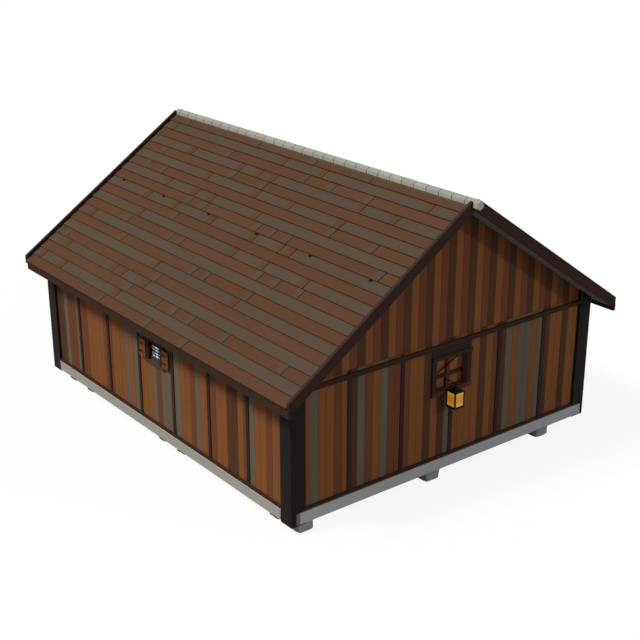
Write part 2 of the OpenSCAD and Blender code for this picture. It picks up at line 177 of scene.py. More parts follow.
class GranaryFittings(bpy.types.PropertyGroup):
    strap_width: length("Strap width", "Height of a shutter's iron strap", 0.038)
    shutter_trim: length("Shutter trim", "How much narrower a shutter's boards are than its place", 0.04)
    strap_reach: FloatProperty(
        name="Strap reach", description="Share of a shutter that a strap crosses", default=0.65
    )
    strap_proud: length("Strap thickness", "How far a strap stands out", 0.006)
    lead_width: length("Lead width", "Width of the lead between two panes", 0.012)
    sash: length("Sash", "Width of a window's dark sash at the sides", 0.025)
    pane_columns: IntProperty(name="Pane columns", description="Panes across the window", default=3, min=1)
    pane_rows: IntProperty(name="Pane rows", description="Panes up the window", default=4, min=1)
    brace: length("Brace", "Thickness of the hatch's slanting brace", 0.022)
    leaf_bar: length("Leaf bar", "Width of the hatch leaf's upright bar", 0.085)
    plank: length("Plank", "Width of a plank of the hatch leaf", 0.122)


class GranaryStains(bpy.types.PropertyGroup):
    orange: colour("Orange", "Orange-brown wall board", "794A27")
    red: colour("Red", "Red-brown wall board", "663C27")
    grey: colour("Grey", "Weathered grey wall board", "615546")
    dark: colour("Dark", "Dark brown wall board", "4D3223")
    brown: colour("Brown", "Dark red-brown wall board", "643C28")
    roof_red: colour("Roof red", "Red-brown roof board", "533828")
    roof_grey: colour("Roof grey", "Grey-brown roof board", "4D4033")
    trim: colour("Trim", "Dark brown rails, frames and bargeboards", "36251F")
    trim_top: colour("Trim top", "Weathered upper edge of a bargeboard", "352721")
    post: colour("Post", "Near-black corner post", "1D1816")
    sill: colour("Sill", "Pale sill beam under a long wall", "989388")
    # Painted light: a paler copy of the sill stain, for the gable sills that stand in more light.
    sill_gable: colour("Gable sill", "Paler sill beam under a gable", "AAA7A0")
    sill_end: colour("Sill end", "Darker end block of a gable sill", "6E6A62")
    soffit: colour("Soffit", "Boards under the roof", "706D62")
    floor: colour("Floor", "Floor boards", "6B5640")
    ridge_strip: colour("Ridge strip", "Grey-brown strip of roof beside the ridge pole", "4C4134")
    # Partly painted shade: dark end grain on cut edges, painted shade under each course and along the top of an
    # eave board.
    roof_edge: colour("Roof edge", "Cut edges of the roof boards and top of an eave board", "33251A")
    ridge: colour("Ridge", "Pale ridge pole", "9D9A8E")
    ridge_top: colour("Ridge top", "Upper sides of the ridge pole", "918E83")
    ridge_end: colour("Ridge end", "Sawn ends of the ridge pole", "AEA69E")
    ridge_joint: colour("Ridge joint", "Joint between two blocks of the ridge pole", "6E6A60")
    hatch_foot: colour("Hatch foot", "Foot of a hatch frame", "4A3127")
    frame: colour("Frame", "Sill and sash foot of a side window", "4A3B32")
    stone: colour("Stone", "Field stone", "8C8B84")
    # Painted shade: stones under a long wall are stained darker for the shade under the sill.
    stone_in_shade: colour("Side stone", "Field stone in painted shade under a long wall", "5A5953")
    iron: colour("Iron", "Black ironwork", "0B0D10")
    strap: colour("Strap", "Rusty black straps of the shutters", "1E120C")
    # Painted light: the sides of a hatch opening take a paler stain than the frame.
    reveal: colour("Reveal", "Sides of a hatch opening", "5B4238")
    shutter: colour("Shutter", "Boards of a shutter", "6C4224")
    leaf: colour("Leaf", "Planks of a hatch leaf", "855231")
    brace: colour("Brace", "Slanting brace of a hatch leaf", "24120F")
    amber: colour("Amber", "Lantern glass", "F4B03A")
    amber_deep: colour("Deep amber", "Middle of the lantern glass", "D08A12")


class GranaryStudio(bpy.types.PropertyGroup):
    focal: FloatProperty(
        name="Focal length", description="Camera lens in millimetres", default=69.36, subtype="DISTANCE_CAMERA"
    )
    eye: FloatVectorProperty(
        name="Camera place",
        description="Where the camera stands",
        default=(-13.748, -17.974, 10.513),
        subtype="TRANSLATION",
    )
    aim: FloatVectorProperty(
        name="Camera turn",
        description="Which way the camera looks",
        default=(math.radians(68.628), 0, math.radians(-37.984)),
        subtype="EULER",
    )
    sky: FloatProperty(name="Sky", description="Strength of the even light from all round", default=0.42)
    left_sun: FloatProperty(
        name="Left light", description="Strength of the soft light from the left", default=3.4
    )
    right_sun: FloatProperty(
        name="Right light", description="Strength of the low light from the right", default=0.82
    )


GROUPS = {
    "granary_boards": GranaryBoards,
    "granary_roof": GranaryRoof,
    "granary_fittings": GranaryFittings,
    "granary_stains": GranaryStains,
    "granary_studio": GranaryStudio,
}

# ---------------------------------------------------------------- finishes


def arithmetic(operation, swapped=False):
    """An operator of Wire."""
    return lambda one, other: one.math(operation, *((other, one) if swapped else (one, other)))


class Wire:
    """A node's output that can be used in an expression; each operation adds one Math node."""

    __add__, __radd__ = arithmetic("ADD"), arithmetic("ADD", True)
    __sub__, __rsub__ = arithmetic("SUBTRACT"), arithmetic("SUBTRACT", True)
    __mul__, __rmul__ = arithmetic("MULTIPLY"), arithmetic("MULTIPLY", True)

    def __init__(self, finish, socket):
        self.finish, self.socket = finish, socket

    def math(self, operation, *values):
        return self.finish.add("ShaderNodeMath", {"operation": operation}, values)()

    def span(self, low, high):
        """0 below low, 1 above high, smooth between them."""
        settings = {"interpolation_type": "SMOOTHSTEP"}
        return self.finish.add("ShaderNodeMapRange", settings, {0: self, 1: low, 2: high})()


class Finish:
    """The nodes of one material, or of the world."""

    def __init__(self, name, owners="materials", shader="Principled BSDF"):
        self.owner = getattr(bpy.data, owners).new(name)
        self.owner.use_nodes = True
        self.tree = self.owner.node_tree
        self.shader = self.tree.nodes[shader]

    def add(self, kind, settings=(), values=()):
        """A node with its settings and its input values or wires; the result gives its outputs as wires."""
        node = self.tree.nodes.new(kind)
        for key, value in dict(settings).items():
            setattr(node, key, value)
        for key, value in values.items() if isinstance(values, dict) else enumerate(values):
            self.join(node.inputs[key], value)
        return lambda output=0: Wire(self, node.outputs[output])

    def join(self, socket, value):
        if isinstance(value, Wire):
            self.tree.links.new(value.socket, socket)
        else:
            socket.default_value = value

    def vector(self, x, y, z):
        return self.add("ShaderNodeCombineXYZ", (), (x, y, z))()

    def place(self):
        """Object coordinates, split into X, Y and Z."""
        where = self.add("ShaderNodeTexCoord")("Object")
        parts = self.add("ShaderNodeSeparateXYZ", (), (where,))
        return where, [parts(i) for i in range(3)]

    def noise(self, vector, scale, detail=3.0, rough=0.5):
        return self.add(
            "ShaderNodeTexNoise", (), {"Vector": vector, "Scale": scale, "Detail": detail, "Roughness": rough}
        )("Fac")

    def mix(self, factor, first, second, blend="MIX"):
        settings = {"data_type": "RGBA", "blend_type": blend}
        return self.add("ShaderNodeMix", settings, {0: factor, 6: first, 7: second})(2)

    def bump(self, height, distance):
        values = {"Strength": 1.0, "Distance": distance, "Height": height}
        return self.add("ShaderNodeBump", (), values)("Normal")

    def stain(self, layer="stain"):
        """Colour that each board carries."""
        return self.add("ShaderNodeAttribute", {"attribute_name": layer})("Color")

    def seen(self, *kinds):
        """1 for the named kinds of ray."""
        path = self.add("ShaderNodeLightPath")
        rays = path(kinds[0])
        for kind in kinds[1:]:
            rays = rays.math("MAXIMUM", rays, path(kind))
        return rays

    def surface(self, **values):
        """Sets or links the shader's sockets, named with underscores."""
        for key, value in values.items():
            self.join(self.shader.inputs[key.replace("_", " ").title().replace("Ior", "IOR")], value)
        return self.owner


@cache
def stained_wood(name, depth=0.16, shine=0.85, patches=False):
    """Boards and timbers: each one's own stain, streaked along its grain, with paler raised fibres."""
    f = Finish(name)
    run = f.add("ShaderNodeSeparateXYZ", (), (f.add("ShaderNodeUVMap", {"uv_map": "run"})("UV"),))
    along, across = run(0), run(1)
    streaks = f.noise(f.vector(along * 0.45, across * 16.0, 0.0), 1.0, 4.0, 0.6)
    fibres = f.noise(f.vector(along * 3.0, across * 130.0, 0.0), 1.0, 2.0, 0.5)
    cloud = f.noise(f.vector(along * 0.8, across * 2.5, 3.0), 1.0, 2.0, 0.5)
    stain = f.stain()
    if patches:
        other = f.stain("end_stain")
        edge = f.noise(f.vector(along * 3.0, across * 9.0, 7.0), 1.0, 2.0, 0.5)
        stain = f.mix(1.0 - (along + (edge - 0.5) * 0.12).span(0.12, 0.22), stain, other)
    tone = 1.0 + (streaks - 0.5) * depth * 2.0 + (fibres - 0.5) * depth + (cloud - 0.5) * depth
    base = f.mix(1.0, stain, tone, "MULTIPLY")
    height = streaks * 0.5 + fibres * 0.5
    rough = shine + (fibres - 0.5) * 0.16 + (streaks - 0.5) * 0.12
    return f.surface(base_color=base, roughness=rough, normal=f.bump(height, 0.0012), specular_ior_level=0.06)


def rough_stone():
    """Grey field stone: mottled, with dark pits and pale specks."""
    f = Finish("rough_stone")
    where, _ = f.place()
    mottle = f.noise(where, 9.0, 4.0, 0.6)
    grain = f.noise(where, 90.0, 3.0, 0.6)
    specks = f.add("ShaderNodeTexVoronoi", (), {"Vector": where, "Scale": 55.0})("Distance")
    tone = 0.72 + mottle * 0.45 + (grain - 0.5) * 0.35 + (1.0 - specks.span(0.0, 0.22)) * 0.12
    base = f.mix(1.0, f.stain(), tone, "MULTIPLY")
    height = mottle * 0.7 + grain * 0.3
    return f.surface(base_color=base, roughness=0.82 + (grain - 0.5) * 0.2, normal=f.bump(height, 0.006))


@cache
def forged_iron(kind, paint):
    """Forged iron under old paint, worn paler in places."""
    f = Finish(f"{kind}_paint")
    where, _ = f.place()
    wear = f.noise(where, 26.0, 4.0, 0.6)
    pits = f.noise(where, 160.0, 2.0, 0.5)
    worn = wear.span(0.56, 0.74)
    base = f.mix(worn, (*paint, 1), (*(c * 1.8 for c in paint), 1))
    return f.surface(
        base_color=base, roughness=0.5 + pits * 0.25, normal=f.bump(pits, 0.0006), specular_ior_level=0.08
    )


@cache
def window_panes():
    """Old leaded glass in slow ripples; its pale bluish base colour is a painted reflection of a bright sky, and
    its partly metallic face mirrors the real surroundings.
    """
    f = Finish("sky_glass")
    where, _ = f.place()
    ripple = f.noise(where, 7.0, 2.0, 0.5)
    smear_and_glare = f.noise(where, 22.0, 3.0, 0.5)
    # Painted reflection: the base colour is pale bluish white for the sky that the panes mirror.
    base = f.mix(smear_and_glare.span(0.35, 0.7), (0.62, 0.68, 0.76, 1), (0.86, 0.89, 0.93, 1))
    return f.surface(base_color=base, roughness=0.08 + smear_and_glare * 0.1, normal=f.bump(ripple, 0.002), metallic=0.55)


def amber_panes(stains, low, high):
    """Milky amber glass with a painted glow for the daylight it lets through, deeper in the middle of each pane
    and paler towards its top and bottom as painted light, and darker in front as painted shade.
    """
    f = Finish("amber_pane")
    where, (_, y, z) = f.place()
    cloud = f.noise(where, 11.0, 3.0, 0.5)
    # Painted light: the panes are paler towards their top and bottom, where light leaks in.
    middle = (z - low.z).span(0.0, 0.1) * (high.z - z).span(0.0, 0.1)
    # Painted shade: the front panes are darkened to about three quarters.
    behind = (y - low.y).span(0.003, 0.006) * 0.28
    base = f.mix(middle * (0.55 + cloud * 0.6), (*stains.amber, 1), (*stains.amber_deep, 1))
    base = f.mix(behind + 0.76, (0, 0, 0, 1), base)
    # Painted glow: a weak emission stands for daylight through the glass.
    f.surface(emission_color=base, emission_strength=0.32, specular_ior_level=0.2)
    f.surface(coat_weight=0.2, coat_roughness=0.15)
    return f.surface(base_color=base, roughness=0.3 + cloud * 0.15, normal=f.bump(cloud, 0.001))


# ---------------------------------------------------------------- shaping


def extent(points):
    """Lowest and highest corner of a list of points."""
    return [Vector(pick(point[i] for point in points) for i in range(3)) for pick in (min, max)]


def plank(low, high, ease=0.003):
    """A sawn piece between two corners, its edges eased."""
    low, high = Vector(low), Vector(high)
    part = bmesh.new()
    bmesh.ops.create_cube(part, size=1.0)
    bmesh.ops.scale(part, vec=high - low, verts=part.verts)
    bmesh.ops.translate(part, vec=(low + high) / 2, verts=part.verts)
    return eased(part, ease)


def panel(outline, near, far, ease=0.003):
    """A piece sawn to an outline of (x, z) points that run anticlockwise seen from outside."""
    part = bmesh.new()
    face = part.faces.new([part.verts.new((x, near, z)) for x, z in outline])
    grown = bmesh.ops.extrude_face_region(part, geom=[face])["geom"]
    rear = [v for v in grown if isinstance(v, bmesh.types.BMVert)]
    bmesh.ops.translate(part, vec=(0, far - near, 0), verts=rear)
    bmesh.ops.recalc_face_normals(part, faces=part.faces)
    return eased(part, ease)


def rod(radius, start, end, segments):
    """A bar with flat sides between two points."""
    part = bmesh.new()
    axis = end - start
    turn = Vector((0, 0, 1)).rotation_difference(axis).to_matrix().to_4x4()
    place = Matrix.Translation((start + end) / 2) @ turn
    bmesh.ops.create_cone(
        part, cap_ends=True, segments=segments, radius1=radius, radius2=radius, depth=axis.length, matrix=place
    )
    return part


def eased(part, ease, sharper=math.radians(20)):
    """Takes the sharp corners off a part."""
    corners = [e for e in part.edges if len(e.link_faces) == 2 and e.calc_face_angle() > sharper]
    if ease and corners:
        bmesh.ops.bevel(
            part, geom=corners, offset=ease, offset_type="OFFSET", segments=1, profile=0.5, affect="EDGES",
            material=-1, clamp_overlap=True,
        )
    return part


def cad_copy(node, ease=0, level=None):
    """The shape of a CAD node as clean faces, its edges eased; its faces may be parted at a level."""
    part = bmesh.new()
    part.from_mesh(frame["nodes"][node].data)
    bmesh.ops.remove_doubles(part, verts=part.verts, dist=1e-5)
    bmesh.ops.dissolve_limit(part, angle_limit=math.radians(1), verts=part.verts, edges=part.edges)
    if level is not None:
        parted(part, (0, 0, level), (0, 0, 1))
    return eased(part, ease)


def parted(part, point, normal):
    """Parts a shape's faces where a plane crosses them, so that each side can be stained."""
    everything = part.verts[:] + part.edges[:] + part.faces[:]
    bmesh.ops.bisect_plane(part, geom=everything, plane_co=point, plane_no=normal)


class Bench:
    """One piece in the making. Every board laid on it keeps its own stain and the run of its grain."""

    def __init__(self, place=Matrix(), seed=1):
        self.work = bmesh.new()
        self.place = place
        self.chance = random.Random(seed)
        self.scrap = bpy.data.meshes.new("scrap")

    def lay(self, part, stain, run="Z", turn=Matrix(), end_stain=None, start=0, vary=0.05):
        """Stains a part, turns it into place and joins it to the piece.

        A stain may go by the way a face looks. Without a run the grain follows each face's longest side.
        An end_stain takes over at the end of the run that start names.
        """
        part.normal_update()
        stains = part.loops.layers.float_color.new("stain")
        ends = part.loops.layers.float_color.new("end_stain")
        runs = part.loops.layers.uv.new("run")
        tone = 1 + self.chance.uniform(-vary, vary)
        shift = self.chance.uniform(0, 40)
        for face in part.faces:
            if run:
                along = "XYZ".index(run)
            else:
                low, high = extent([loop.vert.co for loop in face.loops])
                along = max(range(3), key=lambda i: high[i] - low[i])
            own, other = (s(face.normal) if callable(s) else s for s in (stain, end_stain or stain))
            for loop in face.loops:
                where = loop.vert.co
                reach = abs(where[along] - start) + (0 if end_stain else shift)
                loop[stains] = (*(c * tone for c in own), 1)
                loop[ends] = (*(c * tone for c in other), 1)
                loop[runs].uv = (reach, sum(where) - where[along] + shift)
        bmesh.ops.transform(part, matrix=self.place @ turn, verts=part.verts)
        part.to_mesh(self.scrap)
        part.free()
        self.work.from_mesh(self.scrap)

    def board(self, low, high, stain, run="Z", ease=0.003, **lay):
        """Lays a plank between two corners."""
        self.lay(plank(low, high, ease), stain, run, **lay)

    def paint(self, chosen, stain):
        """Another stain on the faces that a test chooses."""
        layer = self.work.loops.layers.float_color["stain"]
        for face in filter(chosen, self.work.faces):
            for loop in face.loops:
                loop[layer] = (*stain, 1)

    def deliver(self, name, finish, slot, body="house"):
        """The finished piece, standing for the CAD node that its name starts with."""
        bpy.data.meshes.remove(self.scrap)
        mesh = bpy.data.meshes.new(name)
        self.work.to_mesh(mesh)
        self.work.free()
        mesh.materials.append(finish)
        for polygon in mesh.polygons:
            polygon.use_smooth = False
        piece = bpy.data.objects.new(name, mesh)
        bpy.context.scene.collection.objects.link(piece)
        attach(piece, body)
        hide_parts(name.split(".")[0])


# ---------------------------------------------------------------- operators

GABLES, SIDES = ("front", "back"), ("left", "right")
LEVEL_SLACK = 0.004  # how far the middle of an eased edge may lie over the level it belongs to
WOODS = {
    "wall_stain": {},
    "dark_stain": {"depth": 0.2},
    "pale_stain": {"depth": 0.1},
    "tarred_stain": {"depth": 0.22, "shine": 0.7},
    "roof_stain": {"depth": 0.13, "patches": True},
}


class Craft(bpy.types.Operator):
    """Shared by the operators that make pieces"""

    bl_options = {"REGISTER", "UNDO"}

    def execute(self, context):
        scene = context.scene
        self.boards, self.roof = scene.granary_boards, scene.granary_roof
        self.fittings, self.stains = scene.granary_fittings, scene.granary_stains
        self.make()
        return {"FINISHED"}

    def wood(self, name="wall_stain"):
        return stained_wood(name, **WOODS[name])

    def iron(self, kind="iron"):
        return forged_iron(kind, tuple(getattr(self.stains, kind)))

    def copied(self, name, finish, slot, stain, seed, run=None, ease=0.004, level=None, repaint=(), body="house"):
        """A piece that keeps the shape of its CAD node; repaint pairs a test of its faces with their stain."""
        bench = Bench(seed=seed)
        bench.lay(cad_copy(name.split(".")[0], ease, level), stain, run)
        for chosen, other in repaint:
            bench.paint(chosen, other)
        bench.deliver(name, finish, slot, body)


class GRANARY_OT_foundation(Craft):
    """Field stones under the sills"""

    bl_idname = "granary.foundation"
    bl_label = "Foundation stones"

    SEED = 11
    # A stone under a long wall has its middle beyond this x and starts behind this y
    BESIDE_X, BESIDE_Y = 3.1, -3.7
    CORNER = 0.075  # how far the upright corners are cut back
    KNOCK, KNOCKS = 0.02, 9  # depth of the hollows and bumps, and their number to a metre

    def make(self):
        source = cad_copy("foundation_stones")
        bench = Bench(seed=self.SEED)
        noise.seed_set(self.SEED)
        seen, places = set(), []
        for first in source.verts:
            if first not in seen:
                group, more = set(), {first}
                while more:
                    group |= more
                    more = {e.other_vert(vert) for vert in group for e in vert.link_edges} - group
                seen |= group
                places.append(extent([vert.co for vert in group]))
        source.free()
        for low, high in sorted(places, key=lambda place: (round(place[0].y, 3), round(place[0].x, 3))):
            beside = abs(low.x + high.x) / 2 > self.BESIDE_X and low.y > self.BESIDE_Y
            # Painted shade: a stone under a long wall takes the darker stain for the shade under the sill.
            stain = self.stains.stone_in_shade if beside else self.stains.stone
            bench.lay(self.stone(low, high, bench.chance), stain)
        bench.deliver("foundation_stones.field", rough_stone(), "field_stone")

    def stone(self, low, high, chance):
        """One roughly squared stone that fills its place; its top and its foot stay level."""
        part = plank(low, high, 0)
        corners = [e for e in part.edges if abs(e.verts[0].co.z - e.verts[1].co.z) > 0.01]
        bmesh.ops.bevel(
            part, geom=corners, offset=self.CORNER, offset_type="OFFSET", segments=2, profile=0.5,
            affect="EDGES", material=-1,
        )
        bmesh.ops.subdivide_edges(part, edges=part.edges, cuts=2, use_grid_fill=True)
        shift = Vector([chance.uniform(0, 50) for _ in range(3)])
        for vert in part.verts:
            keep = vert.co + noise.noise_vector(vert.co * self.KNOCKS + shift) * self.KNOCK
            if not low.z + 0.001 <= vert.co.z <= high.z - 0.001:
                keep.z = vert.co.z
            vert.co = Vector(min(max(keep[i], low[i]), high[i]) for i in range(3))
        bmesh.ops.recalc_face_normals(part, faces=part.faces)
        return part


class GRANARY_OT_heavy_timber(Craft):
    """Sill beams, corner posts and floor boards"""

    bl_idname = "granary.heavy_timber"
    bl_label = "Heavy timber"

    SILL_EASE, POST_EASE = 0.006, 0.01
    END_BLOCK = 0.07  # length of the darker block at a gable sill's end

    def make(self):
        stains = self.stains
        for side in WALLS:
            node = f"{side}_sill"
            bench, beam = Bench(seed=21), cad_copy(node)
            if side in GABLES:
                low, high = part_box(node)
                hand, end = (-1, low.x + self.END_BLOCK) if side == "front" else (1, high.x - self.END_BLOCK)
                parted(beam, (end, 0, 0), (1, 0, 0))
                # Painted light: the gable sill takes the paler, lit copy of the sill stain.
                bench.lay(eased(beam, self.SILL_EASE), stains.sill_gable, "X", vary=0)
                bench.paint(lambda face: (face.calc_center_median().x - end) * hand > 0, stains.sill_end)
            else:
                bench.lay(eased(beam, self.SILL_EASE), stains.sill, "Y", vary=0)
            bench.deliver(f"{node}.beam", self.wood("pale_stain"), "pale_timber")
        for end in GABLES:
            for side in SIDES:
                bench, node = Bench(seed=22), f"{end}_{side}_post"
                bench.lay(cad_copy(node, self.POST_EASE), stains.post, "Z", vary=0.04)
                bench.deliver(f"{node}.timber", self.wood("tarred_stain"), "post_timber")
        self.floor()

    def floor(self):
        """Boards along the house, shorter where they meet a post."""
        low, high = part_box("floor")
        bench = Bench(seed=23)
        count = round((high.x - low.x) / self.boards.pitch_side)
        width = (high.x - low.x) / count
        for i in range(count):
            left, right = low.x + i * width, low.x + (i + 1) * width
            notched = left < POST_HIGH.x or right > -POST_HIGH.x
            near, far = (POST_HIGH.y, 2 * MIDDLE_Y - POST_HIGH.y) if notched else (low.y, high.y)
            bench.board((left, near, low.z), (right, far, high.z), self.stains.floor, "Y")
        bench.deliver("floor.boards", self.wood(), "floor_boards")


class GRANARY_OT_walls(Craft):
    """Upright boards on the four walls, outside and inside"""

    bl_idname = "granary.walls"
    bl_label = "Boarded walls"

    NARROW = 0.02  # no strip beside a post is narrower than this
    WAVER = 0.002  # how far back a board's face may lie
    STUB = 0.01  # nothing shorter than this is left over an opening
    BEHIND = 0.02  # how far boards run behind the side of a hatch frame
    OVER_LEAF = 0.06  # how high over a hatch's leaf the opening in the boards ends
    UPPER_LAP = 0.1  # how far the upper boards run down behind the lower ones

    def make(self):
        kinds = {"O": "orange", "R": "red", "G": "grey", "D": "dark", "B": "brown"}
        self.palette = {letter: getattr(self.stains, kind) for letter, kind in kinds.items()}
        for side, place in WALLS.items():
            bench = Bench(place, seed=31)
            if side in GABLES:
                self.gable(bench, 1 if side == "front" else -1)
            else:
                self.long_wall(bench)
            bench.deliver(f"{side}_wall.boards", self.wood(), "wall_boards")

    def strips(self, first, pitch, reach):
        """Left and right edges of the boards between two posts that stand at -reach and reach."""
        seams, seam = [-reach], first
        while seam > -reach + pitch:
            seam -= pitch
        while seam < reach - self.NARROW:
            if seam > -reach + self.NARROW:
                seams.append(seam)
            seam += pitch
        return list(zip(seams, seams[1:] + [reach]))

    def upright(self, bench, left, right, foot, top, hole, near, stain):
        """One board, cut round an opening where it meets one; top is a height or a function of x."""
        crest = top if callable(top) else lambda x: top
        base, head = [(left, foot), (right, foot)], [(right, crest(right)), (left, crest(left))]
        if left < 0 < right and callable(top):
            head.insert(1, (0, crest(0)))
        far = near + self.boards.thickness
        near += bench.chance.uniform(0, self.WAVER)
        low, high = hole
        if not (left < high.x and right > low.x and foot < high.z and crest((left + right) / 2) > low.z):
            outlines = [base + head]
        elif left >= low.x and right <= high.x:
            below = [base + [(right, low.z), (left, low.z)]] if foot < low.z else []
            above = [[(left, high.z), (right, high.z)] + head] if crest(left) > high.z else []
            outlines = below + above
        elif left < low.x:
            base += [(right, low.z), (low.x, low.z)]
            if crest(left) > high.z + self.STUB:
                outlines = [base + [(low.x, high.z), (right, high.z)] + head]
            else:
                outlines = [base + [(low.x, crest(low.x)), (left, crest(left))]]
        else:
            back = [(high.x, low.z), (left, low.z)]
            if crest(right) > high.z + self.STUB:
                outlines = [base + head + [(left, high.z), (high.x, high.z)] + back]
            else:
                outlines = [base + [(right, crest(right)), (high.x, crest(high.x))] + back]
        for outline in outlines:
            bench.lay(panel(outline, near, far, self.boards.ease), stain, "Z", vary=0.03)

    def gable(self, bench, hand):
        """Boards of a gable; seen from outside, the back one's hatch sits on the other side."""
        boards, palette, foot = self.boards, self.palette, GABLE_LOW.z
        edges = sorted((hand * (HATCH_LOW.x + self.BEHIND), hand * (HATCH_HIGH.x - self.BEHIND)))
        hole = (Vector((edges[0], 0, HATCH_LOW.z)), Vector((edges[1], 0, LEAF_HIGH.z + self.OVER_LEAF)))
        short = iter(boards.order_over)
        lift = FRAMING_TOP + boards.lower_top
        seams = self.strips(boards.first_gable - HALF_WIDTH, boards.pitch_gable, GABLE_HIGH.x)
        for (left, right), lower, upper in zip(seams, cycle(boards.order_gable), cycle(boards.order_upper)):
            top = min(lift, roof_underside(max(abs(left), abs(right))))
            outer = [(foot, top, BOARD_FACE, lower)]
            if left < hole[1].x and right > hole[0].x:
                over = (HATCH_HIGH.z, top, BOARD_FACE, next(short, "O"))
                outer = [over, (foot, HATCH_HIGH.z, BOARD_FACE, lower)]
            if top == lift:
                outer.append((top - self.UPPER_LAP, roof_underside, BOARD_FACE + boards.upper_back, upper))
            for low, high, near, letter in outer:
                self.upright(bench, left, right, low, high, hole, near, palette[letter])
            inside = BOARD_FACE + WALL_DEPTH - boards.thickness
            self.upright(bench, left, right, foot, roof_underside, hole, inside, self.stains.floor)

    def long_wall(self, bench):
        """Boards of a long wall."""
        boards = self.boards
        middle = MIDDLE_Y - (WINDOW_LOW.y + WINDOW_HIGH.y) / 2
        half = (WINDOW_HIGH.y - WINDOW_LOW.y) / 2
        hole = (Vector((middle - half, 0, WINDOW_LOW.z)), Vector((middle + half, 0, WINDOW_HIGH.z)))
        seams = self.strips(HALF_LENGTH - boards.first_side, boards.pitch_side, (SIDE_HIGH.y - SIDE_LOW.y) / 2)
        crown = roof_underside(HALF_WIDTH - BOARD_FACE)
        for (left, right), letter in zip(seams, cycle(boards.order_side[-len(seams) :])):
            inside = BOARD_FACE + WALL_DEPTH - boards.thickness
            for near, stain in ((BOARD_FACE, self.palette[letter]), (inside, self.stains.floor)):
                self.upright(bench, left, right, SIDE_LOW.z, crown, hole, near, stain)


class GRANARY_OT_framing(Craft):
    """Foot rails, studs and top rails on the boards"""

    bl_idname = "granary.framing"
    bl_label = "Rails and studs"

    def make(self):
        for side in WALLS:
            self.copied(f"{side}_framing.timber", self.wood("dark_stain"), "dark_timber", self.stains.trim, 41)


class GRANARY_OT_hatches(Craft):
    """Hatch frames and leaves in both gables"""

    bl_idname = "granary.hatches"
    bl_label = "Gable hatches"

    PLANK_DEPTH, EASE = 0.03, 0.004
    BAR_X = -0.022  # middle of the upright bar, seen from outside
    # Cross bar: height over the leaf's foot, half its width, how far it lies behind the upright bar
    CROSS, CROSS_HALF, CROSS_BACK = 0.22, 0.03, 0.004
    # Brace: x and height over the leaf's foot at its lower end, x and depth under the leaf's top at the other
    BRACE_FOOT, BRACE_TOP, BRACE_PROUD = (-0.281, 0.312), (0.267, 0.03), 0.008

    def make(self):
        foot = (lambda face: face.calc_center_median().z < LEAF_LOW.z + LEVEL_SLACK, self.stains.hatch_foot)
        # Painted light: the opening's side faces are painted the paler reveal stain.
        sides = (self.reveal, self.stains.reveal)
        for side in GABLES:
            self.copied(
                f"{side}_hatch_frame.timber", self.wood("dark_stain"), "dark_timber", self.stains.trim, 51,
                level=LEAF_LOW.z, repaint=(foot, sides),
            )
            self.leaf(side)

    @staticmethod
    def reveal(face):
        """True for the faces of a frame that look into the opening from its sides."""
        middle = face.calc_center_median()
        inside = LEAF_LOW.x - 0.01 < middle.x < LEAF_HIGH.x + 0.01 and middle.z > LEAF_LOW.z
        return inside and abs(face.normal.x) > 0.7

    def leaf(self, side):
        """Upright planks held by an upright bar, a cross bar and a slanting brace; back and front mirror."""
        stains, hand = self.stains, 1 if side == "front" else -1
        low, high = extent([Vector((hand * end.x, end.y - POST_LOW.y, end.z)) for end in (LEAF_LOW, LEAF_HIGH)])
        face = high.y - self.PLANK_DEPTH
        bench = Bench(WALLS[side], seed=52)
        count = round((high.x - low.x) / self.fittings.plank)
        width = (high.x - low.x) / count
        for i in range(count):
            left = low.x + i * width
            bench.board((left, face, low.z), (left + width, high.y, high.z), stains.leaf, "Z", self.EASE)
        half = self.fittings.leaf_bar / 2
        left, right = self.BAR_X * hand - half, self.BAR_X * hand + half
        bench.board((left, low.y, low.z), (right, face, high.z), stains.dark, "Z", self.EASE)
        near, cross, half = low.y + self.CROSS_BACK, low.z + self.CROSS, self.CROSS_HALF
        for start, end in ((low.x, left), (right, high.x)):
            bench.board((start, near, cross - half), (end, face, cross + half), stains.trim, "X")
        (foot, rise), (top, drop) = self.BRACE_FOOT, self.BRACE_TOP
        places, near = ((foot, low.z + rise), (top, high.z - drop)), low.y - self.BRACE_PROUD
        ends = [Vector((hand * x, near, z)) for x, z in places]
        bench.lay(rod(self.fittings.brace / 2, *ends, 8), stains.brace, None)
        bench.deliver(f"{side}_hatch_leaf.planks", self.wood(), "leaf_boards")


